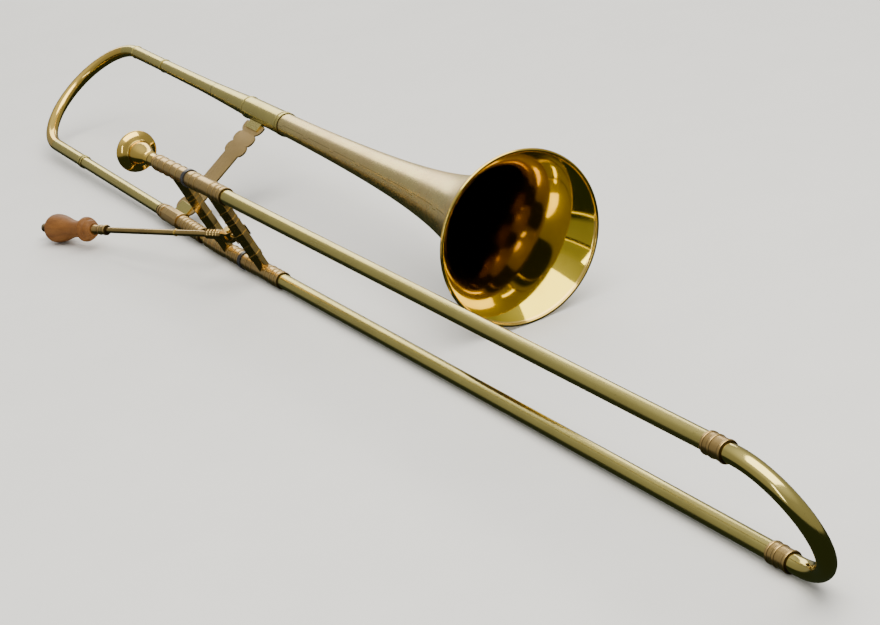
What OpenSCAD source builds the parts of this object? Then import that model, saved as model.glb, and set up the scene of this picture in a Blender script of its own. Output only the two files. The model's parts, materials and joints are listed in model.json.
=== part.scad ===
/* [Slide] */
// Distance between the two slide legs, centre to centre
leg_gap = 108.2; // [104:0.1:114]
// Outside diameter of the outer slide tubes
outer_tube_d = 14.3; // [14:0.1:14.8]
// Outside diameter of the inner slide tubes
inner_tube_d = 13.3; // [13:0.05:13.3]
// Wall thickness of every drawn tube
tube_wall = 0.45; // [0.4:0.05:0.5]
// Length of the straight slide legs, from the slide mouth to the slide bow
leg_len = 889; // [870:1:910]
// Diameter of the ferrules on the slide
ferrule_d = 16.6; // [16.2:0.1:17]
// Length of the ferrules at the slide mouth
mouth_ferrule_len = 85; // [84:1:90]
// Diameter of the buffer rings that the closed slide rests against
buffer_d = 18.6; // [18.2:0.1:20]

/* [Slide stays] */
// Place of the outer stay, from the slide mouth
outer_stay_x = 48.5; // [44:0.5:50]
// Place of the inner stay, from the slide mouth
inner_stay_x = -36; // [-40:0.5:-34]
// Width of the stays across the slide
stay_w = 13.6; // [12:0.1:14.4]
// Thickness of the stays along the slide
stay_t = 8; // [7:0.1:9]

/* [Bell section] */
// Distance from the gooseneck to the bell tube, centre to centre
bell_gap = 146.7; // [144:0.1:150]
// Largest diameter of the bell, across its rolled rim
bell_d = 162.8; // [156:0.1:168]
// Distance from the slide mouth to the bell's rim
bell_rim_s = 357.3; // [350:0.1:366]
// Angle between the slide and the bell section, seen along the slide
bell_turn = 77.9; // [65:0.1:90]
// Angle that leads the bell section away from the slide, in its own plane
bell_dip = 1.26; // [1:0.01:1.5]
// Angle that leads the bell section sideways, out of its own plane
bell_yaw = 0.56; // [0.4:0.01:0.7]
// Diameter of the gooseneck tube
gooseneck_d = 13.1; // [13:0.05:13.2]
// Diameter of the bell bow's tube
bow_tube_d = 14; // [13.8:0.1:14.4]

/* [Mouthpiece] */
// Diameter of the mouthpiece rim
rim_d = 43.6; // [40:0.1:45]
// Inside diameter of the cup at the rim
cup_d = 28.6; // [27:0.1:30]
// Distance from the slide mouth back to the rim
rim_x = 138; // [134:1:140]

/* [Handle] */
// Distance from the hinge to the end of the wooden grip
handle_len = 322; // [319:1:328]
// Diameter of the handle's rod
rod_d = 6.3; // [6:0.1:6.6]
// Largest diameter of the wooden grip
grip_d = 31; // [28:0.5:31.5]
// Height of the hinge above the lower slide leg
hinge_n = 50; // [49:1:54]
// Angle between the handle and the slide, seen from above
handle_swing = 16.3; // [14:0.1:20]
// Angle that the handle droops towards the lower leg
handle_droop = 1.3; // [0.9:0.05:1.3]

/* [Hidden] */
$fn = 96;

// Fits and clearances
run_gap = 0.05;
face_gap = 0.3;

// Radii that several pieces share
outer_r = outer_tube_d / 2;
outer_bore_r = outer_r - tube_wall;
inner_r = inner_tube_d / 2;
inner_bore_r = inner_r - tube_wall;
ferrule_r = ferrule_d / 2;
bead_h = 0.6;
bead_w = 2.6;
buffer_r = buffer_d / 2;
buffer_len = 3;
mouth_x = 2.4;
bow_turn_r = leg_gap / 2;
outer_tube_end = leg_len - 17;
inner_tube_end = leg_len - 27;

// Ferrules on the inner slide, measured back from the slide mouth
receiver_end = 81;
receiver_r = 7.9;
shank_r = 5.6;
shank_end = 56;
receiver_beads = [-75.6, -65, -50, -35, -20];
inner_beads = [-57.5, -47.6, -31, -20, -10.6];
ferrule_back = 60;

// Ferrules on the outer slide
mouth_beads = [14, 25.6, 58, 68.7, 77, 83.7];
bow_ferrule_x = [861, 883];
bow_beads = [862.3, 870, 881.7];

// Slide stays: the height of the joint line and of the raised bands
stay_joint_n = 37.2;
stay_neck_n = 20;
outer_stay_bands = [24.3, 50.7, 64.2, 69.6, 79.7];
inner_stay_bands = [24.3, 50.3, 64.4, 72, 77];
stay_tongue_n = 62;
stay_wall = 1;
band_half = 0.9;
band_out = 0.45;

// Bell section: where its axis crosses that of the lower leg, and places along it from the
// slide mouth
joint_x = -60;
tenon_r = 6.4;
tenon_s = [-200, -64];
tail_s = [-162, -104];
tail_beads = [-153, -145, -137, -129, -121, -113];
tenon_beads = [-88.4, -78, -68];
socket_s = [-205, -162];
socket_flat = 8.2;
socket_corner_r = socket_flat / cos(22.5);
socket_ring_r = 9.1;
collar_s = [-217, -205];
gooseneck_r = gooseneck_d / 2;
sleeve_lower_s = [-541, -446];
sleeve_upper_s = [-541, -450];
bow_r = bow_tube_d / 2;
bell_bow_turn_r = bell_gap / 2;
bow_seam_angle = 158;
yard_s = -167;
yard_outline = [[-500, 6.9], [-450, 6.95], [-447, 7.45], [-382, 7.8], [-332, 8.2], [-302, 8.8],
    [-262, 9.8], [-220, 11]];
bell_wall = 0.7;
rim_bead_r = 1.6;
rim_wire_r = 0.95;
bell_r = bell_d / 2 - rim_bead_r;

// The flare follows radius = pull / (reach - s) less a gentle cone
flare_reach = bell_rim_s + 85.65;
flare_cone = 0.014;
flare_base = 2.87;
flare_pull = (bell_r + flare_base + flare_cone * bell_rim_s) * (flare_reach - bell_rim_s);
function flare_r(s) = flare_pull / (flare_reach - s) - flare_base - flare_cone * s;

// The bell is brazed together from a stem and a flare
bell_seam_s = 215;
function spread(s0, s1, steps) = [for (i = [0:steps]) s0 + (s1 - s0) * sin(90 * i / steps)];
stem_s = spread(yard_s, bell_seam_s, 18);
flare_s = spread(bell_seam_s, bell_rim_s, 18);
function shell(places) = concat([for (s = places) [flare_r(s), s]],
    [for (i = [len(places) - 1:-1:0]) [flare_r(places[i]) - bell_wall, places[i]]]);
yard_end_r = flare_r(yard_s);
bell_sleeve_s = [-214, -121];
bell_sleeve_r = flare_r(bell_sleeve_s[1]) + 0.5;
bell_sleeve_r0 = yard_end_r + 0.2;
sleeve_gap = 0.06;

// Bell stay, in the plane of the bell section
stay_s = -177;
stay_plate_t = 1.8;
stay_strip_w = 31;
stay_lobe_r = 7.1;
stay_end = 9.6;
clasp_w = 28;
clasp_t = 5;
clasp_reach = 22;

// Handle, measured out from its hinge
lug_pin_r = 2;
lug_eye_r = 5.5;
lug_t = 5;
cheek_t = 3.2;
cheek_r = 6;
fork_r = 4.9;
fork_ferrule_t = [17, 40];
rod_r = rod_d / 2;
rod_ring_at = 93;
grip_t = [240.5, handle_len];
collar_t0 = grip_t[0] - 24.5;
grip_neck_t = grip_t[0] + 31.5;
pear_t = grip_t[0] + 69.5;
grip_end_r = 4.3;

grip_bore_r = rod_r + run_gap;
cap_t = 16;
rod_s = [fork_ferrule_t[0] + 4, handle_len + cap_t - 1.5];
hinge = [outer_stay_x - 12.5, -5.5, hinge_n];

// Laying the instrument down on the buffer ring, the bell's rim and the wooden grip
function turn_x(a, v) = [v[0], v[1] * cos(a) - v[2] * sin(a), v[1] * sin(a) + v[2] * cos(a)];
function turn_y(a, v) = [v[0] * cos(a) + v[2] * sin(a), v[1], v[2] * cos(a) - v[0] * sin(a)];
function turn_z(a, v) = [v[0] * cos(a) - v[1] * sin(a), v[0] * sin(a) + v[1] * cos(a), v[2]];
function bell_point(v) =
    [joint_x, 0, 0]
    + turn_x(-bell_turn, turn_z(bell_yaw, turn_y(bell_dip, v - [joint_x, 0, 0])));
function handle_point(t) =
    hinge + t * turn_z(handle_swing, turn_y(-handle_droop, [-1, 0, 0]));
bell_centre = bell_point([bell_rim_s, 0, bell_gap]);
bell_rest_r = bell_r + rim_bead_r;
lay_angle = asin((bell_rest_r - buffer_r) / norm([bell_centre[1], bell_centre[2]]))
    - atan2(bell_centre[2], bell_centre[1]);
grip_low = turn_x(lay_angle, handle_point(pear_t));
bow_end = bell_point([sleeve_lower_s[0] - bell_bow_turn_r, 0, bell_bow_turn_r]);
mid_x = (leg_len + bow_turn_r + outer_r + bow_end[0] - bow_r) / 2;
mid_y = (turn_x(lay_angle, bell_centre)[1] + bell_rest_r + grip_low[1] - grip_d / 2) / 2;

// Colours
brass = [0.72, 0.68, 0.45];
rose_brass = [0.72, 0.62, 0.42];
gold_brass = [0.80, 0.62, 0.25];
dark_brass = [0.35, 0.29, 0.16];
black = [0.05, 0.05, 0.06];
wood = [0.72, 0.42, 0.20];

// Places a piece of the slide, drawn with the lower leg along X and the upper leg above it
module laid() {
    translate([-mid_x, -mid_y, buffer_r]) rotate([lay_angle, 0, 0]) children();
}

// Places a piece of the bell section, drawn with the gooseneck along X and the bell above it
module in_bell() {
    laid() translate([joint_x, 0, 0]) rotate([-bell_turn, 0, 0])
        rotate([0, bell_dip, bell_yaw]) translate([-joint_x, 0, 0]) children();
}

// Places a piece of the handle, drawn out from the hinge along X with the hinge along Z
module in_handle(droop = handle_droop) {
    laid() translate(hinge) rotate([0, 0, handle_swing]) rotate([0, -droop, 0])
        rotate([0, 0, 180]) children();
}

// A turned piece along X, from outline points [radius, x]
module turned(outline) {
    rotate([0, 90, 0]) rotate_extrude() polygon(outline);
}

// A plain tube along X
module tube(x0, x1, r, bore) {
    turned([[bore, x0], [r, x0], [r, x1], [bore, x1]]);
}

// A solid round bar along X
module bar(x0, x1, r) {
    translate([x0, 0, 0]) rotate([0, 90, 0]) cylinder(h = x1 - x0, r = r);
}

// The outline points of one raised bead
function bead(x, r, w = bead_w, h = bead_h) =
    [for (a = [0:30:180]) [r + h * sin(a), x - w / 2 * cos(a)]];

// A ferrule along X with raised beads round it, solid where its bore is 0
module ferrule(x0, x1, r, bore, beads) {
    turned(concat([[bore, x0], [r, x0]], [for (b = beads) each bead(b, r)],
        [[r, x1], [bore, x1]]));
}

module upper_leg() {
    translate([0, 0, leg_gap]) children();
}

// The six-sided outline of a slide stay, grown by a margin
module stay_outline(grow = 0) {
    x = stay_t / 2 + grow;
    y = stay_w / 2 + grow;
    polygon([[x, 0], [x / 4, y], [-x / 4, y], [-x, 0], [-x / 4, -y], [x / 4, -y]]);
}

module stay_bar(x, n0, n1, grow = 0) {
    translate([x, 0, n0]) linear_extrude(n1 - n0) stay_outline(grow);
}

// The outer half of a telescoping stay, hollow where the insert slides in and cut to sit on the
// ferrule that is given as its child
module stay_sleeve(x, bands) {
    difference() {
        union() {
            stay_bar(x, stay_joint_n, leg_gap);
            for (n = bands) if (n > stay_joint_n) stay_bar(x, n - band_half, n + band_half, band_out);
        }
        stay_bar(x, stay_joint_n - 1, stay_tongue_n + 2, -stay_wall);
        upper_leg() children();
    }
}

// The inner half of a telescoping stay, with its neck on the ferrule given as its child
module stay_insert(x, bands) {
    difference() {
        union() {
            stay_bar(x, 0, stay_neck_n, -0.8);
            stay_bar(x, stay_neck_n, stay_joint_n - 0.4);
            for (n = bands) if (n < stay_joint_n) stay_bar(x, n - band_half, n + band_half, band_out);
            stay_bar(x, stay_neck_n, stay_tongue_n, -stay_wall);
        }
        children();
    }
}

// Inner slide
module mouthpiece() {
    rim_r = rim_d / 2;
    cup_r = cup_d / 2;
    color(gold_brass) laid() upper_leg() difference() {
        turned([
            [cup_r + 0.8, -rim_x], [rim_r - 1.4, -rim_x], [rim_r - 0.3, 0.8 - rim_x],
            [rim_r, 2 - rim_x], [rim_r - 0.3, 3.4 - rim_x], [rim_r - 1.6, 5 - rim_x],
            [rim_r - 4, 6.9 - rim_x], [13.6, 9 - rim_x], [13.9, 9.8 - rim_x],
            [13.5, 10.8 - rim_x], [12.7, 11.3 - rim_x], [12.6, 13.5 - rim_x],
            [12.1, 17.5 - rim_x], [11, 22 - rim_x], [9.4, 27 - rim_x], [7.8, 32 - rim_x],
            [6.9, 36.5 - rim_x], [7.6, 37.5 - rim_x], [6.8, 38.5 - rim_x],
            [7.4, 40 - rim_x], [6.7, 41.2 - rim_x], [7.3, 43 - rim_x], [6.6, 44.2 - rim_x],
            [6.4, -receiver_end - face_gap], [shank_r, -receiver_end - face_gap],
            [shank_r, -shank_end], [4.6, -shank_end], [3.6, 34 - rim_x], [3.6, 28 - rim_x],
            [7, 24.5 - rim_x], [10, 19 - rim_x], [12.2, 12 - rim_x], [13.6, 5 - rim_x],
            [cup_r, 1 - rim_x]
        ]);
    }
}

module mouthpiece_receiver() {
    color(rose_brass) laid() upper_leg() turned(concat(
        [[shank_r + run_gap, -receiver_end], [receiver_r - 0.6, -receiver_end],
            [receiver_r, -receiver_end + 1]],
        [for (b = receiver_beads) each bead(b, receiver_r)],
        [[receiver_r, -buffer_len], [inner_r, -buffer_len], [inner_r, -shank_end + 2],
            [shank_r + run_gap, -shank_end + 2]]));
}

module inner_tube_upper() {
    color(gold_brass) laid() upper_leg()
        tube(-shank_end + 2, inner_tube_end, inner_r, inner_bore_r);
}

module inner_tube_lower() {
    color(gold_brass) laid() tube(-ferrule_back, inner_tube_end, inner_r, inner_bore_r);
}

module lower_inner_ferrule() {
    color(rose_brass) laid()
        ferrule(-ferrule_back, -buffer_len, receiver_r, inner_r, inner_beads);
}

// The ferrule that carries the tenon, turned the few degrees that the bell section leads away
module tenon_ferrule() {
    color(rose_brass) difference() {
        in_bell() ferrule(-90, -40, receiver_r, tenon_r, tenon_beads);
        laid() translate([-ferrule_back, -20, -20]) cube([40, 40, 40]);
    }
}

module bell_tenon() {
    color(gold_brass) in_bell() tube(tenon_s[0], tenon_s[1], tenon_r, tenon_r - 0.7);
}

module buffer_upper() {
    color(black) laid() upper_leg() tube(-buffer_len, mouth_x - 0.2, buffer_r, inner_r);
}

module buffer_lower() {
    color(black) laid() tube(-buffer_len, mouth_x - 0.2, buffer_r, inner_r);
}

module inner_stay_sleeve() {
    color(dark_brass) laid() stay_sleeve(inner_stay_x, inner_stay_bands)
        ferrule(-receiver_end, -buffer_len, receiver_r, 0, receiver_beads);
}

module inner_stay_insert() {
    color(dark_brass) laid() stay_insert(inner_stay_x, inner_stay_bands)
        ferrule(-ferrule_back, -buffer_len, receiver_r, 0, inner_beads);
}

// Outer slide
module outer_tube_upper() {
    color(brass) laid() upper_leg() tube(mouth_x + 1, outer_tube_end, outer_r, outer_bore_r);
}

module outer_tube_lower() {
    color(brass) laid() tube(mouth_x + 1, outer_tube_end, outer_r, outer_bore_r);
}

module mouth_ferrule() {
    turned(concat([[outer_bore_r, mouth_x], [ferrule_r, mouth_x]],
        [for (b = mouth_beads) each bead(b, ferrule_r)],
        [[ferrule_r, mouth_ferrule_len], [outer_r, mouth_ferrule_len], [outer_r, mouth_x + 1],
            [outer_bore_r, mouth_x + 1]]));
}

module mouth_ferrule_upper() {
    color(rose_brass) laid() upper_leg() mouth_ferrule();
}

module mouth_ferrule_lower() {
    color(rose_brass) laid() mouth_ferrule();
}

module outer_stay_sleeve() {
    color(dark_brass) laid() stay_sleeve(outer_stay_x, outer_stay_bands)
        ferrule(0, mouth_ferrule_len, ferrule_r, 0, mouth_beads);
}

module outer_stay_insert() {
    color(dark_brass) laid() stay_insert(outer_stay_x, outer_stay_bands)
        ferrule(0, mouth_ferrule_len, ferrule_r, 0, mouth_beads);
}

module bow_ferrule() {
    ferrule(bow_ferrule_x[0], bow_ferrule_x[1], ferrule_r, outer_r, bow_beads);
}

module bow_ferrule_upper() {
    color(rose_brass) laid() upper_leg() bow_ferrule();
}

module bow_ferrule_lower() {
    color(rose_brass) laid() bow_ferrule();
}

// Half a turn of tube from the lower leg up to the upper one, in the plane of Y
module half_bow(turn_r, angle, r, bore) {
    translate([0, 0, turn_r]) rotate([90, 0, 0]) rotate([0, 0, -90])
        rotate_extrude(angle = angle) translate([turn_r, 0]) difference() {
            circle(r);
            circle(bore);
        }
}

module slide_bow() {
    color(gold_brass) laid() {
        tube(outer_tube_end, leg_len, outer_r, outer_bore_r);
        upper_leg() tube(outer_tube_end, leg_len, outer_r, outer_bore_r);
        translate([leg_len, 0, 0]) half_bow(bow_turn_r, 180, outer_r, outer_bore_r);
    }
}

// Handle: the lug on the outer stay
module handle_lug() {
    color(dark_brass) laid() difference() {
        union() {
            stay_bar(outer_stay_x, hinge_n - 6, hinge_n + 6, 1.6);
            translate([hinge[0], hinge[1], hinge_n - lug_t / 2]) cylinder(h = lug_t, r = lug_eye_r);
            translate([hinge[0], hinge[1] - 3.5, hinge_n - lug_t / 2])
                cube([outer_stay_x - hinge[0], 7, lug_t]);
        }
        stay_bar(outer_stay_x, hinge_n - 10, hinge_n + 10, 0.5);
        translate([outer_stay_x + 1, -12, hinge_n - 10]) cube([20, 30, 20]);
        translate([hinge[0], hinge[1], hinge_n - 10]) cylinder(h = 20, r = lug_pin_r + run_gap);
    }
}

module lug_pin() {
    half = lug_t / 2 + cheek_t + face_gap;
    color(gold_brass) in_handle(0) {
        translate([0, 0, -half - 1.2]) cylinder(h = 2 * half + 2.4, r = lug_pin_r);
        translate([0, 0, half]) cylinder(h = 1.2, r = 3.1);
        translate([0, 0, -half - 1.2]) cylinder(h = 1.2, r = 3.1);
    }
}

// The fork: two cheeks either side of the lug, a neck and a grooved ferrule that holds the rod
module handle_fork() {
    slot_h = lug_t + 2 * face_gap;
    cheek_h = slot_h + 2 * cheek_t;
    t = fork_ferrule_t;
    grooves = [t[0] + 3, t[0] + 8, t[0] + 13, t[0] + 18];
    color(dark_brass) difference() {
        union() {
            in_handle(0) {
                translate([0, 0, -cheek_h / 2]) cylinder(h = cheek_h, r = cheek_r);
                translate([0, -cheek_r + 0.5, -cheek_h / 2])
                    cube([10, 2 * cheek_r - 1, cheek_h]);
            }
            in_handle() turned(concat(
                [[0, 7], [5.4, 7], [5.4, 11], [4.2, 14], [4.2, t[0] - 1], [fork_r, t[0]]],
                [for (g = grooves) each [[fork_r, g - 0.7], [fork_r - 0.6, g], [fork_r, g + 0.7]]],
                [[fork_r, t[1] - 1], [fork_r - 1, t[1]], [0, t[1]]]));
        }
        in_handle(0) {
            translate([0, 0, -slot_h / 2]) cylinder(h = slot_h, r = 7.5);
            translate([-10, -10, -slot_h / 2]) cube([10, 20, slot_h]);
            translate([0, 0, -cheek_h]) cylinder(h = 2 * cheek_h, r = lug_pin_r);
        }
        in_handle() bar(rod_s[0], t[1] + 1, rod_r);
    }
}

module handle_rod() {
    color(dark_brass) in_handle() bar(rod_s[0], rod_s[1], rod_r);
}

module rod_ring() {
    color(gold_brass) in_handle() turned([[rod_r, rod_ring_at - 1.5],
        [rod_r + 0.3, rod_ring_at - 1.5], [rod_r + 0.7, rod_ring_at], [rod_r + 0.3, rod_ring_at + 1.5],
        [rod_r, rod_ring_at + 1.5]]);
}

module grip_collar() {
    color(rose_brass) in_handle() turned([[rod_r, collar_t0], [5.1, collar_t0],
        [5.7, collar_t0 + 1.5], [5.7, collar_t0 + 3], [5.1, collar_t0 + 4.5],
        [4.9, collar_t0 + 10], [5.5, collar_t0 + 11.5], [5, collar_t0 + 13],
        [4.9, collar_t0 + 17], [5.3, grip_t[0] - face_gap], [rod_r, grip_t[0] - face_gap]]);
}

// The grip swells to a pear at its end and to a stepped collar at its front
module wood_grip() {
    grip_r = grip_d / 2;
    t0 = grip_t[0];
    end_t = grip_t[1];
    collar_r = 13.2;
    neck_r = 8.8;
    color(wood) in_handle() turned(concat(
        [[grip_bore_r, t0], [6.6, t0], [7.9, t0 + 2], [7.7, t0 + 2.6], [8.7, t0 + 3.2],
            [9.5, t0 + 4.8], [10.6, t0 + 8], [10.4, t0 + 8.6], [11.4, t0 + 9.3], [12.4, t0 + 11],
            [collar_r, t0 + 13.5], [collar_r, t0 + 15], [12.5, t0 + 16.5], [11.2, t0 + 17.8],
            [9.4, t0 + 18.6], [neck_r + 0.3, t0 + 20]],
        [for (a = [0:20:160]) [(grip_r + neck_r) / 2 - (grip_r - neck_r) / 2 * cos(a),
            grip_neck_t + (pear_t - grip_neck_t) * a / 180]],
        [for (a = [0:15:75]) [grip_end_r + (grip_r - grip_end_r) * cos(a),
            pear_t + (end_t - pear_t) * sin(a)]],
        [[grip_end_r, end_t], [grip_bore_r, end_t]]));
}

// The cap stands out behind the grip and ends in a wider rim
module grip_cap() {
    cap_r = 4.1;
    rim_r = 4.8;
    rim_t = handle_len + cap_t - 4;
    color(black) in_handle() turned([[rod_r, handle_len + face_gap],
        [cap_r, handle_len + face_gap], [cap_r, rim_t - 0.6], [rim_r, rim_t], [rim_r, rim_t + 2.5],
        [rim_r - 1.2, handle_len + cap_t], [0, handle_len + cap_t],
        [0, handle_len + cap_t - 1.5], [rod_r, handle_len + cap_t - 1.5]]);
}

// Bell section
module at_bell_tube() {
    translate([0, 0, bell_gap]) children();
}

module bell_stem() {
    color(brass) in_bell() at_bell_tube() turned(shell(stem_s));
}

module bell_flare() {
    color(brass) in_bell() at_bell_tube() rotate([0, 90, 0]) rotate_extrude() difference() {
        union() {
            polygon(shell(flare_s));
            translate([bell_r, bell_rim_s - 1]) circle(rim_bead_r);
        }
        translate([bell_r, bell_rim_s - 1]) circle(rim_wire_r);
    }
}

module bell_rim_wire() {
    color(gold_brass) in_bell() at_bell_tube() rotate([0, 90, 0]) rotate_extrude()
        translate([bell_r, bell_rim_s - 1]) circle(rim_wire_r - 0.05);
}

module bell_sleeve() {
    s0 = bell_sleeve_s[0];
    s1 = bell_sleeve_s[1];
    last = yard_outline[len(yard_outline) - 1];
    bore0 = last[1] + (yard_end_r - last[1]) * (s0 - last[0]) / (yard_s - last[0]) + sleeve_gap;
    color(brass) in_bell() at_bell_tube() turned(concat(
        [[bore0, s0], [bell_sleeve_r0, s0]], bead(s0 + 1.4, bell_sleeve_r0),
        bead(s1 - 7.2, bell_sleeve_r), bead(s1 - 1.4, bell_sleeve_r), [[bell_sleeve_r, s1]],
        [for (i = [0:6]) let (s = s1 - (s1 - yard_s) * i / 6) [flare_r(s) + sleeve_gap, s]]));
}

module bell_yard() {
    outline = concat(yard_outline, [[yard_s, yard_end_r]]);
    count = len(outline);
    color(brass) in_bell() at_bell_tube() turned(concat([for (p = outline) [p[1], p[0]]],
        [for (i = [count - 1:-1:0]) [outline[i][1] - bell_wall, outline[i][0]]]));
}

module bow_sleeve_upper() {
    s0 = sleeve_upper_s[0];
    s1 = sleeve_upper_s[1];
    r = bow_r + 0.35;
    y = yard_outline;
    color(brass) in_bell() {
        translate([s0, 0, bell_bow_turn_r]) rotate([90, 0, 0]) rotate([0, 0, 90])
            rotate_extrude(angle = 180 - bow_seam_angle) translate([bell_bow_turn_r, 0])
                difference() {
                    circle(bow_r);
                    circle(bow_r - bell_wall);
                }
        at_bell_tube() turned(concat([[bow_r - bell_wall, s0], [r, s0]], bead(s0 + 2, r),
            bead(s1 - 1.5, r, 3, 0.8), [[r, s1], [y[1][1], s1], [y[0][1], y[0][0]],
                [bow_r - bell_wall, y[0][0]]]));
    }
}

module bell_bow() {
    color(gold_brass) in_bell() translate([sleeve_lower_s[0], 0, 0]) mirror([1, 0, 0])
        half_bow(bell_bow_turn_r, bow_seam_angle, bow_r, bow_r - bell_wall);
}

module bow_sleeve_lower() {
    s0 = sleeve_lower_s[0];
    s1 = sleeve_lower_s[1];
    color(brass) in_bell() turned(concat([[bow_r - bell_wall, s0], [bow_r, s0]],
        bead(s1 - 7.6, bow_r, 3, 0.7), bead(s1 - 1.6, bow_r, 3, 0.7),
        [[bow_r, s1], [gooseneck_r, s1], [gooseneck_r, s0 + 30], [bow_r - bell_wall, s0 + 30]]));
}

module gooseneck() {
    color(brass) in_bell()
        tube(sleeve_lower_s[0] + 30, collar_s[1], gooseneck_r, gooseneck_r - bell_wall);
}

module gooseneck_collar() {
    color(rose_brass) in_bell()
        ferrule(collar_s[0], collar_s[1], 7.5, gooseneck_r, [collar_s[0] + 4, collar_s[1] - 3]);
}

// The octagonal socket that turns on the tenon
module bell_socket() {
    color(rose_brass) in_bell() difference() {
        union() {
            translate([socket_s[0], 0, 0]) rotate([0, 90, 0]) rotate([0, 0, 22.5])
                cylinder(h = socket_s[1] - socket_s[0], r = socket_corner_r, $fn = 8);
            bar(socket_s[0], socket_s[0] + 2.5, 8.9);
            bar(socket_s[1] - 2.5, socket_s[1], socket_ring_r);
        }
        bar(socket_s[0] - 1, socket_s[1] + 1, tenon_r + run_gap);
    }
}

module socket_tail() {
    color(rose_brass) in_bell() turned(concat(
        [[tenon_r + run_gap, tail_s[0]], [receiver_r, tail_s[0]]],
        [for (b = tail_beads) each bead(b, receiver_r)], bead(tail_s[1] - 1.6, receiver_r, 3, 0.8),
        [[receiver_r, tail_s[1]], [tenon_r + run_gap, tail_s[1]]]));
}

// The scalloped outline of the bell stay's lower half
module stay_half() {
    middle = bell_gap / 2;
    translate([stay_s - stay_strip_w / 2, stay_end])
        square([stay_strip_w, middle - stay_end + 1]);
    for (side = [-1, 1]) {
        for (z = [34.7, 48.5]) translate([stay_s + side * 15, z]) circle(stay_lobe_r);
        translate([stay_s + side * 13.5, stay_end + 8.5]) circle(8.6);
    }
}

// The whole plate of the bell stay, in the plane of the bell section
module stay_plate() {
    translate([0, stay_plate_t / 2, 0]) rotate([90, 0, 0]) linear_extrude(stay_plate_t) {
        stay_half();
        translate([0, bell_gap]) mirror([0, 1]) stay_half();
    }
}

// The plate, cut back round the bell's sleeve and the socket
module cut_plate() {
    difference() {
        stay_plate();
        at_bell_tube() bar(stay_s - 40, stay_s + 40, bell_sleeve_r + 1.5);
        bar(stay_s - 40, stay_s + 40, socket_corner_r + bead_h);
    }
}

module bell_stay() {
    color(rose_brass) in_bell() cut_plate();
}

module stay_clasp_upper() {
    color(brass) in_bell() difference() {
        translate([stay_s - clasp_w / 2, -clasp_t / 2, bell_gap - clasp_reach])
            cube([clasp_w, clasp_t, clasp_reach - 8]);
        cut_plate();
        at_bell_tube() bar(stay_s - 40, stay_s + 40, bell_sleeve_r);
    }
}

module stay_clasp_lower() {
    color(brass) in_bell() difference() {
        translate([stay_s - clasp_w / 2, -clasp_t / 2, socket_flat])
            cube([clasp_w, clasp_t, 12]);
        bar(socket_s[1] - 2.5 - face_gap, socket_s[1] + face_gap, socket_ring_r + face_gap);
        cut_plate();
    }
}

mouthpiece();
mouthpiece_receiver();
inner_tube_upper();
inner_tube_lower();
lower_inner_ferrule();
tenon_ferrule();
bell_tenon();
buffer_upper();
buffer_lower();
inner_stay_sleeve();
inner_stay_insert();
outer_tube_upper();
outer_tube_lower();
mouth_ferrule_upper();
mouth_ferrule_lower();
outer_stay_sleeve();
outer_stay_insert();
bow_ferrule_upper();
bow_ferrule_lower();
slide_bow();
handle_lug();
lug_pin();
handle_fork();
handle_rod();
rod_ring();
grip_collar();
wood_grip();
grip_cap();
bell_flare();
bell_stem();
bell_rim_wire();
bell_sleeve();
bell_yard();
bow_sleeve_upper();
bell_bow();
bow_sleeve_lower();
gooseneck();
gooseneck_collar();
bell_socket();
socket_tail();
bell_stay();
stay_clasp_upper();
stay_clasp_lower();
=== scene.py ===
import json
import math

import bmesh
import bpy
from mathutils import Matrix, Vector

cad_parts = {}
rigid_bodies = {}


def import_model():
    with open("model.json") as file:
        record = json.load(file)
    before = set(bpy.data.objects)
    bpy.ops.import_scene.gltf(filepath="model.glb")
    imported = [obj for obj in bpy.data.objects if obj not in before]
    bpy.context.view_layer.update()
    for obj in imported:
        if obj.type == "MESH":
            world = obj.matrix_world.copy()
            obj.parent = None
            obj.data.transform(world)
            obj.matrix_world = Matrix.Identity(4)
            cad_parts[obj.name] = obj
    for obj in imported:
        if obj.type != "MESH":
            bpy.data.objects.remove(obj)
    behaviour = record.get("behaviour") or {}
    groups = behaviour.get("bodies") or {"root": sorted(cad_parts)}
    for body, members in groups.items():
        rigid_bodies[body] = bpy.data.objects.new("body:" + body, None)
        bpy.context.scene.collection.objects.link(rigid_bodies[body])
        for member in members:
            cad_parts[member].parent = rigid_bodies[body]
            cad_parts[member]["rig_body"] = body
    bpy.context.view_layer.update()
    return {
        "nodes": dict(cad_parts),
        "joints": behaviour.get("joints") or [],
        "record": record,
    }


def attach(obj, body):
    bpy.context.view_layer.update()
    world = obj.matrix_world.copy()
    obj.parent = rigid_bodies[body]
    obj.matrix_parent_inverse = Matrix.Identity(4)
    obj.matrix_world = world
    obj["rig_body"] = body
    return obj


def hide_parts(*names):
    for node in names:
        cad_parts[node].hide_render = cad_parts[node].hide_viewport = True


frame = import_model()
nodes = frame["nodes"]
joints = {joint["name"]: joint for joint in frame["joints"]}

MM = 0.001
SAME = 0.04 * MM               # outline points nearer than this are one point
ROUND = 160                    # steps round a turned piece
BELL_ROUND = 256
SMOOTH_TURNED, SMOOTH_CAD, SMOOTH_SOFTENED = 35, 28, 12    # degrees; a sharper edge stays sharp


# ---------------------------------------------------------------- axes of the turned pieces

def joint_axis(name):
    """A point on a joint's axis and the axis itself."""
    joint = joints[name]
    return Vector(joint["pos_m"]), Vector(joint["axis"]).normalized()


def middle_of(node, axis):
    """The point at the middle of a round node's cross-section, seen along its axis."""
    side, up = across(axis)
    points = [vertex.co for vertex in nodes[node].data.vertices]
    mids = []
    for direction in (side, up):
        heights = [point.dot(direction) for point in points]
        mids.append((min(heights) + max(heights)) / 2)
    return side * mids[0] + up * mids[1]


def across(axis):
    """Two directions square to an axis and to each other."""
    up = Vector((0, 0, 1))
    side = up.cross(axis).normalized()
    return side, axis.cross(side).normalized()


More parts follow.
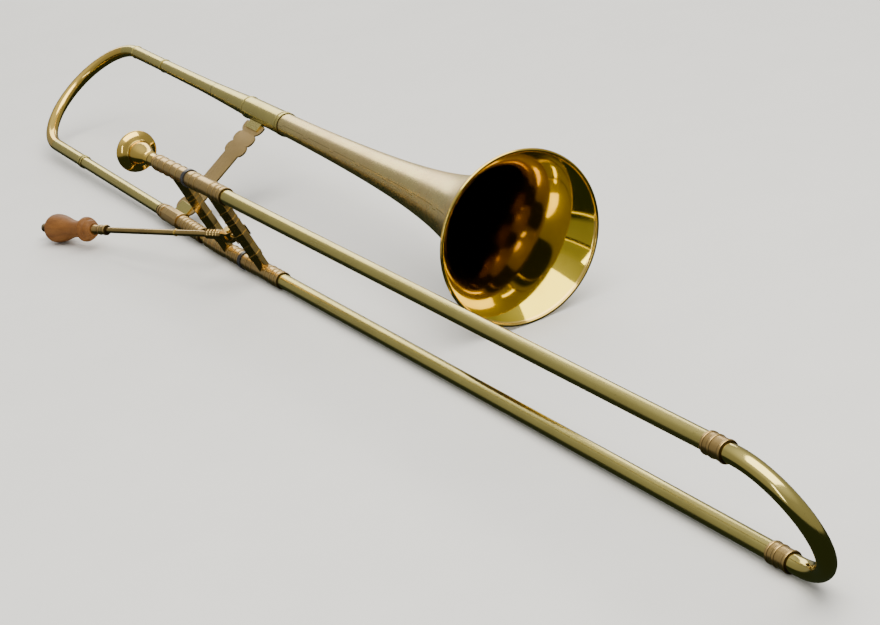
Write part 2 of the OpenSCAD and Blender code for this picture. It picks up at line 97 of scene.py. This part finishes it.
SLIDE_AXIS = Vector((1, 0, 0))
BELL_AXIS = joint_axis("bell_turn")[1]
GRIP_AXIS = joint_axis("grip_spin")[1]
TURNED = (
    (SLIDE_AXIS, ("mouthpiece", "mouthpiece_receiver", "lower_inner_ferrule", "buffer_upper",
                  "buffer_lower", "mouth_ferrule_upper", "mouth_ferrule_lower",
                  "bow_ferrule_upper", "bow_ferrule_lower", "outer_tube_upper",
                  "outer_tube_lower", "inner_tube_upper", "inner_tube_lower")),
    (BELL_AXIS, ("bell_tenon", "socket_tail", "gooseneck", "gooseneck_collar",
                 "bow_sleeve_lower", "bell_yard", "bell_sleeve")),
    (GRIP_AXIS, ("handle_rod", "rod_ring", "grip_collar", "wood_grip", "grip_cap")),
)
SOFTENED = ("inner_stay_sleeve", "inner_stay_insert", "outer_stay_sleeve", "outer_stay_insert",
            "handle_lug", "handle_fork", "lug_pin", "bell_socket", "bell_stay",
            "stay_clasp_upper", "stay_clasp_lower")


# ---------------------------------------------------------------- meshes

def outline_of(node, origin, axis):
    """The outline [(distance along the axis, radius), ...] that a turned node was made from.

    It runs forward along the outer wall. The other two results say whether it is closed and
    whether every point of the mesh is on it.
    """
    mesh = nodes[node].data
    keys = []
    key_of = []
    for vertex in mesh.vertices:
        offset = vertex.co - origin
        along = offset.dot(axis)
        radius = (offset - axis * along).length
        for index, (other_along, other_radius) in enumerate(keys):
            if abs(other_along - along) < SAME and abs(other_radius - radius) < SAME:
                key_of.append(index)
                break
        else:
            key_of.append(len(keys))
            keys.append((along, radius))
    linked = {index: set() for index in range(len(keys))}
    for edge in mesh.edges:
        first, second = (key_of[index] for index in edge.vertices)
        if first != second:
            linked[first].add(second)
            linked[second].add(first)
    ends = [index for index in linked if len(linked[index]) == 1]
    walk = [ends[0] if ends else min(linked, key=lambda index: keys[index])]
    while True:
        onward = [index for index in linked[walk[-1]] if index not in walk]
        if not onward:
            break
        walk.append(onward[0])
    outline = [keys[index] for index in walk]
    area = sum(here[0] * after[1] - after[0] * here[1]
               for here, after in zip(outline, outline[1:] + outline[:1]))
    if area > 0:
        outline.reverse()
    return outline, not ends, len(walk) == len(keys)


def eased(run, steps):
    """A run of outline points with smooth extra points between them."""
    full = []
    for index in range(len(run) - 1):
        before = run[max(index - 1, 0)]
        here, after = run[index], run[index + 1]
        beyond = run[min(index + 2, len(run) - 1)]
        for step in range(steps):
            t = step / steps
            full.append(tuple(
                0.5 * (2 * h + (a - p) * t + (2 * p - 5 * h + 4 * a - b) * t * t
                       + (3 * h - p - 3 * a + b) * t ** 3)
                for p, h, a, b in zip(before, here, after, beyond)))
    full.append(run[-1])
    return full


LEAST_CORNER = math.radians(0.3)
SLOPE_PASSES = 80


def corners(outline):
    """The points of a closed outline where it changes direction."""
    kept = []
    before = outline[-1]
    for here, after in zip(outline, outline[1:] + outline[:1]):
        arriving = math.atan2(here[1] - before[1], here[0] - before[0])
        leaving = math.atan2(after[1] - here[1], after[0] - here[0])
        if abs(math.remainder(leaving - arriving, 2 * math.pi)) > LEAST_CORNER:
            kept.append(here)
        before = here
    return kept


def flowing(run, steps):
    """A run along the axis with extra points on a cubic spline, whose bend has no jumps.

    The slope at each point is settled, pass by pass, until both sides bend alike there.
    """
    gaps = [after[0] - here[0] for here, after in zip(run, run[1:])]
    rises = [(after[1] - here[1]) / gap for here, after, gap in zip(run, run[1:], gaps)]
    slopes = [rises[0] + (rises[0] - rises[1]) * gaps[0] / (gaps[0] + gaps[1])]
    slopes += [(before + after) / 2 for before, after in zip(rises, rises[1:])]
    slopes.append(rises[-1] + (rises[-1] - rises[-2]) * gaps[-1] / (gaps[-1] + gaps[-2]))
    for settling in range(SLOPE_PASSES):
        for index in range(1, len(run) - 1):
            back, on = gaps[index - 1], gaps[index]
            pull = 3 * (rises[index - 1] / back + rises[index] / on)
            pull -= slopes[index - 1] / back + slopes[index + 1] / on
            slopes[index] = pull / (2 / back + 2 / on)
    full = []
    for index, gap in enumerate(gaps):
        here, after = run[index], run[index + 1]
        for step in range(steps):
            t = step / steps
            radius = ((2 * t ** 3 - 3 * t ** 2 + 1) * here[1]
                      + (t ** 3 - 2 * t ** 2 + t) * gap * slopes[index]
                      + (3 * t ** 2 - 2 * t ** 3) * after[1]
                      + (t ** 3 - t ** 2) * gap * slopes[index + 1])
            full.append((here[0] + gap * t, radius))
    full.append(run[-1])
    return full


LEAST_BEAD = 0.12 * MM         # a lower step isn't a bead
LEVEL_WITHIN = 0.1 * MM
LEAST_FOOT_RADIUS = 4 * MM     # narrower bores and rods get no marks
SHADE_AND_GRIME_REACH = 1.0 * MM


def with_feet(outline, closed, edged):
    """The outline with a mark of 1 where a bead meets the surface, and 0 a little way off.

    An edged outline is marked at both of its ends too.
    """
    count = len(outline)
    tips = [min(along for along, radius in outline), max(along for along, radius in outline)]
    marked = []
    for index, (along, radius) in enumerate(outline):
        before = outline[index - 1] if closed or index else outline[index]
        after = outline[(index + 1) % count] if closed or index + 1 < count else outline[index]
        rises = max(before[1], after[1]) > radius + LEAST_BEAD
        level = min(abs(before[1] - radius), abs(after[1] - radius)) < LEVEL_WITHIN
        at_tip = edged and min(abs(along - tip) for tip in tips) < SAME
        # A mark of 1 later paints near-black grime and painted shade into the crevice beside a
        # bead or at a tube's end.
        foot = 1.0 if at_tip or (rises and level and radius > LEAST_FOOT_RADIUS) else 0.0
        marked.append((along, radius, foot))
    full = []
    for index, here in enumerate(marked):
        full.append(here)
        if index + 1 == count and not closed:
            break
        onward = marked[(index + 1) % count]
        gap = math.hypot(onward[0] - here[0], onward[1] - here[1])
        if gap <= 3 * SHADE_AND_GRIME_REACH:
            continue
        for foot, share in ((here[2], SHADE_AND_GRIME_REACH / gap), (onward[2], 1 - SHADE_AND_GRIME_REACH / gap)):
            if foot:
                full.append((here[0] + (onward[0] - here[0]) * share,
                             here[1] + (onward[1] - here[1]) * share, 0.0))
    return full


def new_mesh(name, points, faces, shade_and_grime=None):
    """An object in the scene, with a value of grime and painted shade for each of its points if
    they are given.
    """
    mesh = bpy.data.meshes.new(name)
    mesh.from_pydata(points, [], faces)
    if shade_and_grime:
        layer = mesh.attributes.new("shade_and_grime", "FLOAT", "POINT")
        for index, value in enumerate(shade_and_grime):
            layer.data[index].value = value
    mesh.update()
    piece = bpy.data.objects.new(name, mesh)
    bpy.context.scene.collection.objects.link(piece)
    return piece


def smooth(piece, sharpest):
    """Shades the piece smoothly, except over edges sharper than this many degrees."""
    for polygon in piece.data.polygons:
        polygon.use_smooth = True
    piece.data.set_sharp_from_angle(angle=math.radians(sharpest))


def turn(name, outline, origin, axis, closed=True, capped=True, segments=ROUND):
    """A mesh turned round an axis from an outline of (along, radius, grime and painted shade)."""
    side, up = across(axis)
    points = []
    shade_and_grime = []
    for along, radius, mark in outline:
        for step in range(segments):
            angle = 2 * math.pi * step / segments
            reach = side * math.cos(angle) + up * math.sin(angle)
            points.append(origin + axis * along + reach * radius)
            shade_and_grime.append(mark)
    faces = []
    count = len(outline)
    for ring in range(count if closed else count - 1):
        onward = (ring + 1) % count
        for step in range(segments):
            following = (step + 1) % segments
            faces.append((ring * segments + step, ring * segments + following,
                          onward * segments + following, onward * segments + step))
    if capped and not closed:
        faces.append(tuple(reversed(range(segments))))
        faces.append(tuple((count - 1) * segments + step for step in range(segments)))
    piece = new_mesh(name, points, faces, shade_and_grime)
    smooth(piece, SMOOTH_TURNED)
    return piece


EDGE_ROUND = 0.2 * MM
MERGE_WITHIN = 0.002 * MM
FLAT_WITHIN = math.radians(0.5)
SHARP_EDGE = math.radians(28)


def softened(node):
    """A copy of a CAD node's mesh with its sharp edges rounded off."""
    work = bmesh.new()
    work.from_mesh(nodes[node].data)
    bmesh.ops.remove_doubles(work, verts=work.verts, dist=MERGE_WITHIN)
    bmesh.ops.dissolve_limit(work, angle_limit=FLAT_WITHIN, verts=work.verts,
                             edges=work.edges)
    sharp = [edge for edge in work.edges if edge.calc_face_angle(0) > SHARP_EDGE]
    bmesh.ops.bevel(work, geom=sharp, offset=EDGE_ROUND, segments=2, profile=0.6, affect="EDGES",
                    clamp_overlap=True)
    bmesh.ops.triangulate(work, faces=work.faces)
    piece = new_mesh(f"{node}.fine", [], [])
    work.to_mesh(piece.data)
    work.free()
    smooth(piece, SMOOTH_SOFTENED)
    return piece


def stand_for(piece, node, material):
    """The piece takes the CAD node's place and body, and gets the given material."""
    piece.data.materials.append(material)
    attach(piece, nodes[node]["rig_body"])
    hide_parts(node)


# ---------------------------------------------------------------- materials

class Nodes:
    """Short names for building a node tree."""

    def __init__(self, name):
        self.material = bpy.data.materials.new(name)
        self.material.use_nodes = True
        self.tree = self.material.node_tree
        self.shader = self.tree.nodes["Principled BSDF"]
        self.place = self.add("ShaderNodeTexCoord").outputs["Object"]

    def add(self, kind, **settings):
        node = self.tree.nodes.new(kind)
        for key, value in settings.items():
            setattr(node, key, value)
        return node

    def link(self, source, target):
        self.tree.links.new(source, target)

    def stretched(self, scale):
        mapping = self.add("ShaderNodeMapping")
        mapping.inputs["Scale"].default_value = scale
        self.link(self.place, mapping.inputs["Vector"])
        return mapping.outputs["Vector"]

    def noise(self, scale, detail=4, rough=0.55, at=None):
        noise = self.add("ShaderNodeTexNoise")
        noise.inputs["Scale"].default_value = scale
        noise.inputs["Detail"].default_value = detail
        noise.inputs["Roughness"].default_value = rough
        self.link(at or self.place, noise.inputs["Vector"])
        return noise.outputs["Fac"]

    def between(self, value, low, high, out_low=0.0, out_high=1.0):
        spread = self.add("ShaderNodeMapRange")
        spread.inputs["From Min"].default_value = low
        spread.inputs["From Max"].default_value = high
        spread.inputs["To Min"].default_value = out_low
        spread.inputs["To Max"].default_value = out_high
        self.link(value, spread.inputs["Value"])
        return spread.outputs["Result"]

    def math(self, operation, first, second=0):
        node = self.add("ShaderNodeMath", operation=operation)
        for socket, value in zip(node.inputs, (first, second)):
            if isinstance(value, (int, float)):
                socket.default_value = value
            else:
                self.link(value, socket)
        return node.outputs["Value"]

    def mix(self, factor, first, second, blend="MIX"):
        node = self.add("ShaderNodeMix", data_type="RGBA", blend_type=blend)
        colours = [socket for socket in node.inputs if socket.type == "RGBA"]
        self.link(factor, node.inputs[0])
        for socket, value in zip(colours, (first, second)):
            if isinstance(value, tuple):
                socket.default_value = (*value, 1)
            else:
                self.link(value, socket)
        return [socket for socket in node.outputs if socket.type == "RGBA"][0]

    def bump(self, height, strength, distance, onto=None):
        node = self.add("ShaderNodeBump")
        node.inputs["Strength"].default_value = strength
        node.inputs["Distance"].default_value = distance
        self.link(height, node.inputs["Height"])
        if onto:
            self.link(onto, node.inputs["Normal"])
        return node.outputs["Normal"]


# Near-black colour for grime and painted shade in crevices beside beads and at tube ends, and for
# painted shade deep in the bell.
SHADE_AND_GRIME_COLOUR = (0.05, 0.032, 0.012)
SHADE_AND_GRIME_DEPTH = 0.97


def brass(name, fresh, aged, roughness, brush, age=0.5, spots=0.35, wobble=0.12, seam=None):
    """Brass with fine polishing lines, cloudy tarnish, small spots, and grime with painted shade
    beside its beads and painted shade deep in the bell.
    """
    n = Nodes(name)
    lines = n.noise(1.0, 3, 0.6, n.stretched(brush))
    clouds = n.noise(14, 5, 0.6)
    patches = n.noise(55, 4, 0.6)
    tarnish = n.math("MULTIPLY", n.between(clouds, 0.38, 0.68), age)
    colour = n.mix(tarnish, fresh, aged)
    colour = n.mix(n.math("MULTIPLY", n.between(patches, 0.5, 0.8), age * 0.5), colour,
                   tuple(channel * 0.8 for channel in aged))
    specks = n.between(n.noise(420, 2, 0.5), 0.68, 0.76)
    colour = n.mix(n.math("MULTIPLY", specks, spots), colour,
                   tuple(channel * 0.35 for channel in aged))
    # Painted shade, with grime beside the beads, darkens the colour wherever the mesh marks it.
    shade_and_grime = n.add("ShaderNodeAttribute", attribute_name="shade_and_grime").outputs["Fac"]
    dark = n.math("MULTIPLY", shade_and_grime, SHADE_AND_GRIME_DEPTH)
    if seam:
        dark = n.math("MAXIMUM", dark, seam_line(n, **seam))
    colour = n.mix(dark, colour, SHADE_AND_GRIME_COLOUR)
    n.link(colour, n.shader.inputs["Base Color"])
    n.shader.inputs["Metallic"].default_value = 1.0
    rough = n.between(lines, 0.3, 0.7, roughness * 0.85, roughness * 1.2)
    rough = n.math("ADD", rough, n.math("MULTIPLY", tarnish, 0.08))
    rough = n.math("ADD", rough, n.math("MULTIPLY", dark, 0.3))
    n.link(rough, n.shader.inputs["Roughness"])
    waves = n.noise(60, 2, 0.5)
    low = n.bump(waves, wobble, 0.6 * MM)
    n.link(n.bump(lines, 0.03, 0.03 * MM, low), n.shader.inputs["Normal"])
    return n.material


def seam_line(n, origin, axis, angle, pitch, depth, width):
    """How dark a thin brazed seam makes a bell tube. It steps from side to side in teeth."""
    side, up = across(axis)
    middle = side * math.cos(angle) + up * math.sin(angle)
    square = axis.cross(middle)
    offsets = []
    for direction in (axis, middle, square):
        dot = n.add("ShaderNodeVectorMath", operation="DOT_PRODUCT")
        n.link(n.place, dot.inputs[0])
        dot.inputs[1].default_value = direction
        offsets.append(n.math("SUBTRACT", dot.outputs["Value"], origin.dot(direction)))
    along, out, sideways = offsets
    bearing = n.math("ARCTAN2", sideways, out)
    radius = n.math("SQRT", n.math("ADD", n.math("MULTIPLY", out, out),
                                   n.math("MULTIPLY", sideways, sideways)))
    arc = n.math("MULTIPLY", bearing, radius)
    sweep = n.math("PINGPONG", along, pitch)
    tooth = n.between(sweep, pitch * 0.82, pitch * 0.86, -depth, depth)
    off = n.math("ABSOLUTE", n.math("SUBTRACT", arc, tooth))
    return n.between(off, width * 0.4, width, 0.6, 0.0)


def turned_wood():
    """Oiled hardwood with grain along the grip and dark pores."""
    n = Nodes("grip_wood")
    origin, axis = joint_axis("grip_spin")
    turn_to_x = axis.rotation_difference(Vector((1, 0, 0))).to_euler()
    turned = n.add("ShaderNodeMapping")
    turned.inputs["Rotation"].default_value = turn_to_x
    n.link(n.place, turned.inputs["Vector"])
    n.place = turned.outputs["Vector"]
    grain = n.noise(1.0, 6, 0.65, n.stretched((26, 260, 260)))
    bands = n.noise(1.0, 3, 0.5, n.stretched((6, 75, 75)))
    colour = n.mix(n.between(bands, 0.35, 0.65), (0.17, 0.066, 0.015), (0.26, 0.108, 0.026))
    colour = n.mix(n.between(grain, 0.5, 0.75, 0.0, 0.55), colour, (0.09, 0.032, 0.008))
    pores = n.noise(1.0, 2, 0.5, n.stretched((120, 1900, 1900)))
    pits = n.between(pores, 0.62, 0.7)
    colour = n.mix(n.math("MULTIPLY", pits, 0.6), colour, (0.045, 0.014, 0.004))
    n.link(colour, n.shader.inputs["Base Color"])
    n.link(n.between(grain, 0.3, 0.7, 0.42, 0.56), n.shader.inputs["Roughness"])
    n.shader.inputs["Specular IOR Level"].default_value = 0.22
    n.link(n.bump(n.math("SUBTRACT", grain, pits), 0.18, 0.06 * MM), n.shader.inputs["Normal"])
    return n.material


def worn_rubber():
    """Dark rubber with pale dust."""
    n = Nodes("buffer")
    dust = n.noise(700, 4, 0.6)
    n.link(n.mix(n.between(dust, 0.4, 0.75), (0.012, 0.013, 0.017), (0.045, 0.045, 0.05)),
           n.shader.inputs["Base Color"])
    n.link(n.between(dust, 0.3, 0.7, 0.26, 0.45), n.shader.inputs["Roughness"])
    n.link(n.bump(dust, 0.3, 0.05 * MM), n.shader.inputs["Normal"])
    return n.material


def floor_paint():
    """Pale matt paint with a faint unevenness."""
    n = Nodes("floor")
    grain = n.noise(9, 5, 0.6)
    n.link(n.mix(n.between(grain, 0.3, 0.7), (0.87, 0.87, 0.87), (0.90, 0.90, 0.90)),
           n.shader.inputs["Base Color"])
    n.shader.inputs["Roughness"].default_value = 0.8
    return n.material


ROUND_THE_TUBE = (2600, 18, 18)
ALONG_THE_TUBE = (14, 2400, 2400)
EVEN = (900, 900, 900)
SEAM = {"origin": middle_of("bell_yard", BELL_AXIS), "axis": BELL_AXIS,
        "angle": math.radians(156), "pitch": 31 * MM, "depth": 1.1 * MM, "width": 0.4 * MM}
MATERIALS = {
    "satin_brass": brass("satin_brass", (0.72, 0.61, 0.19), (0.56, 0.46, 0.14), 0.21,
                         ALONG_THE_TUBE, 0.55),
    "bell_outside": brass("bell_outside", (0.82, 0.66, 0.28), (0.70, 0.50, 0.23), 0.25,
                          ALONG_THE_TUBE, 0.75, seam=SEAM),
    "rose_brass": brass("rose_brass", (0.66, 0.45, 0.17), (0.48, 0.31, 0.11), 0.27,
                        ROUND_THE_TUBE, 0.6),
    "gold_brass": brass("gold_brass", (0.92, 0.64, 0.15), (0.76, 0.47, 0.09), 0.11,
                        ALONG_THE_TUBE, 0.35, 0.2),
    "polished_brass": brass("polished_brass", (0.80, 0.66, 0.20), (0.66, 0.52, 0.14), 0.10,
                            EVEN, 0.4, 0.2),
    "bell_inside": brass("bell_inside", (0.75, 0.57, 0.055), (0.61, 0.42, 0.03), 0.06,
                         EVEN, 0.4, 0.15, wobble=0.06),
    "stay_brass": brass("stay_brass", (0.60, 0.42, 0.15), (0.34, 0.22, 0.08), 0.14, EVEN, 0.7),
    "cap_brass": brass("cap_brass", (0.20, 0.15, 0.08), (0.05, 0.04, 0.03), 0.35, EVEN, 0.8),
    "buffer": worn_rubber(),
    "grip_wood": turned_wood(),
}


# ---------------------------------------------------------------- the object

slot_of = {part["node"]: part["material_slot"] for part in frame["record"]["subparts"]}

LOOK_OF = {"slide_bow": "polished_brass"}      # pieces that don't look like their slot
for name, node in nodes.items():
    node.data.materials.clear()
    node.data.materials.append(MATERIALS[LOOK_OF.get(name, slot_of[name])])
    smooth(node, SMOOTH_CAD)

for axis, names in TURNED:
    for name in names:
        origin = middle_of(name, axis)
        outline, closed, whole = outline_of(name, origin, axis)
        if whole:
            edged = slot_of[name] in ("rose_brass", "satin_brass")
            piece = turn(f"{name}.fine", with_feet(outline, closed, edged), origin, axis, closed)
            stand_for(piece, name, MATERIALS[slot_of[name]])

for name in SOFTENED:
    stand_for(softened(name), name, MATERIALS[slot_of[name]])

# The bell: satin outside, polished on its rolled rim and inside, and rougher with painted shade in
# its depth
BELL_STEPS = 8                 # extra points along each stretch of the bell's outline
RIM_STEPS = 2
RIM_LENGTH = 3.3 * MM
# Painted shade inside the bell, deepening away from the rim
DEEPEST_SHADE = 0.6
DEPTH_SHADE_FROM = 58 * MM            # behind the rim
DEPTH_SHADE_OVER = 230 * MM
bell_origin = middle_of("bell_flare", BELL_AXIS)
bell_outlines = {name: corners(outline_of(name, bell_origin, BELL_AXIS)[0])
                 for name in ("bell_stem", "bell_flare")}
rim_along = max(along for along, radius in bell_outlines["bell_flare"])


def depth_shade(along):
    """How much painted shade and extra roughness the inside of the bell gets, at a distance along
    its axis.
    """
    return DEEPEST_SHADE * min(max((rim_along - DEPTH_SHADE_FROM - along) / DEPTH_SHADE_OVER, 0), 1)


for name, lip in (("bell_stem", SAME), ("bell_flare", RIM_LENGTH)):
    outline = bell_outlines[name]
    back_end = min(along for along, radius in outline)
    lip_from = max(along for along, radius in outline) - lip
    first = max((index for index, point in enumerate(outline) if point[0] < back_end + SAME),
                key=lambda index: outline[index][1])
    outline = outline[first:] + outline[:first + 1]
    at_lip = [index for index, point in enumerate(outline) if point[0] > lip_from]
    outside, rim = outline[:at_lip[0] + 1], outline[at_lip[0]:at_lip[-1] + 1]
    inside, end = outline[at_lip[-1]:-1], outline[-2:]
    for part, run, material, slot in (
            ("outside", flowing(outside, BELL_STEPS), "bell_outside", "satin_brass"),
            ("rim", eased(rim, RIM_STEPS), "gold_brass", "gold_brass"),
            ("inside", flowing(inside, BELL_STEPS), "bell_inside", "gold_brass"),
            ("end", end, "satin_brass", "satin_brass")):
        # Inside the bell the mark paints shade that deepens away from the rim, and adds roughness.
        marked = [(along, radius, depth_shade(along) if part == "inside" else 0.0)
                  for along, radius in run]
        piece = turn(f"{name}.{part}", marked, bell_origin, BELL_AXIS, closed=False,
                     capped=False, segments=BELL_ROUND)
        stand_for(piece, name, MATERIALS[material])


# ---------------------------------------------------------------- floor, light and camera

FLOOR_HALF = 6
floor_corners = [(x * FLOOR_HALF, y * FLOOR_HALF, 0)
                 for x, y in ((-1, -1), (1, -1), (1, 1), (-1, 1))]
floor = new_mesh("floor", floor_corners, [(0, 1, 2, 3)])
floor.data.materials.append(floor_paint())
floor.visible_glossy = False


def softbox(name, place, aim, size, power, tint=(1, 1, 1)):
    """A soft rectangular lamp at a place, turned towards the point it aims at."""
    light = bpy.data.lights.new(name, "AREA")
    light.shape = "RECTANGLE"
    light.size, light.size_y = size
    light.energy = power
    light.color = tint
    lamp = bpy.data.objects.new(name, light)
    lamp.location = place
    lamp.rotation_euler = (Vector(aim) - Vector(place)).to_track_quat("-Z", "Y").to_euler()
    bpy.context.scene.collection.objects.link(lamp)


WARM = (1.0, 0.96, 0.86)
softbox("key", place=(0.9, 0.1, 2.6), aim=(0.3, 0, 0), size=(3.2, 2.6), power=120, tint=WARM)
softbox("back", place=(-2.5, 1.15, 1.2), aim=(0.2, 0.3, 0.1), size=(2.3, 1.4), power=32, tint=WARM)
softbox("strip", place=(2.1, -2.4, 0.9), aim=(0.4, 0, 0.1), size=(0.25, 1.6), power=9)

# What the brass reflects, from straight down (0) through level (0.5) to straight up (1)
ROOM = ((0.37, (0.022, 0.030, 0.018)), (0.42, (0.27, 0.27, 0.24)), (0.72, (0.36, 0.36, 0.34)),
        (0.92, (0.80, 0.80, 0.78)))
BACKDROP = (0.82, 0.82, 0.82)


def light_room():
    """A dim floor and a pale ceiling in reflections, and a plain backdrop for the camera."""
    world = bpy.data.worlds.new("studio")
    world.use_nodes = True
    bpy.context.scene.world = world
    tree = world.node_tree
    direction = tree.nodes.new("ShaderNodeTexCoord").outputs["Generated"]
    split = tree.nodes.new("ShaderNodeSeparateXYZ")
    tree.links.new(direction, split.inputs["Vector"])
    height = tree.nodes.new("ShaderNodeMapRange")
    height.inputs["From Min"].default_value = -1
    tree.links.new(split.outputs["Z"], height.inputs["Value"])
    ramp = tree.nodes.new("ShaderNodeValToRGB")
    for position, colour in ROOM[1:-1]:
        ramp.color_ramp.elements.new(position)
    for element, (position, colour) in zip(ramp.color_ramp.elements, ROOM):
        element.position = position
        element.color = (*colour, 1)
    tree.links.new(height.outputs["Result"], ramp.inputs["Fac"])
    rays = tree.nodes.new("ShaderNodeLightPath")
    seen = tree.nodes.new("ShaderNodeMix")
    seen.data_type = "RGBA"
    reflected, direct = [socket for socket in seen.inputs if socket.type == "RGBA"]
    tree.links.new(rays.outputs["Is Camera Ray"], seen.inputs[0])
    tree.links.new(ramp.outputs["Color"], reflected)
    direct.default_value = (*BACKDROP, 1)
    tree.links.new([socket for socket in seen.outputs if socket.type == "RGBA"][0],
                   tree.nodes["Background"].inputs["Color"])


light_room()

LOOK_AT = Vector((0.2103, -0.0226, 0.05))
CAMERA_AZIMUTH = math.radians(64.06)
CAMERA_ELEVATION = math.radians(22.22)
CAMERA_ROLL = math.radians(-10.69)
CAMERA_DISTANCE = 2.0064
LENS = 95.16


def place_camera():
    """The camera looks at LOOK_AT from its azimuth and elevation, rolled about its own axis."""
    back = Vector((math.sin(CAMERA_AZIMUTH) * math.cos(CAMERA_ELEVATION),
                   -math.cos(CAMERA_AZIMUTH) * math.cos(CAMERA_ELEVATION),
                   math.sin(CAMERA_ELEVATION)))
    level = Vector((math.cos(CAMERA_AZIMUTH), math.sin(CAMERA_AZIMUTH), 0))
    upright = back.cross(level)
    right = level * math.cos(CAMERA_ROLL) + upright * math.sin(CAMERA_ROLL)
    up = upright * math.cos(CAMERA_ROLL) - level * math.sin(CAMERA_ROLL)
    facing = Matrix((right, up, back)).transposed().to_4x4()
    view = bpy.data.cameras.new("camera")
    view.lens = LENS
    view.clip_start = 0.01
    camera = bpy.data.objects.new("camera", view)
    camera.matrix_world = Matrix.Translation(LOOK_AT + back * CAMERA_DISTANCE) @ facing
    bpy.context.scene.collection.objects.link(camera)
    bpy.context.scene.camera = camera


place_camera()
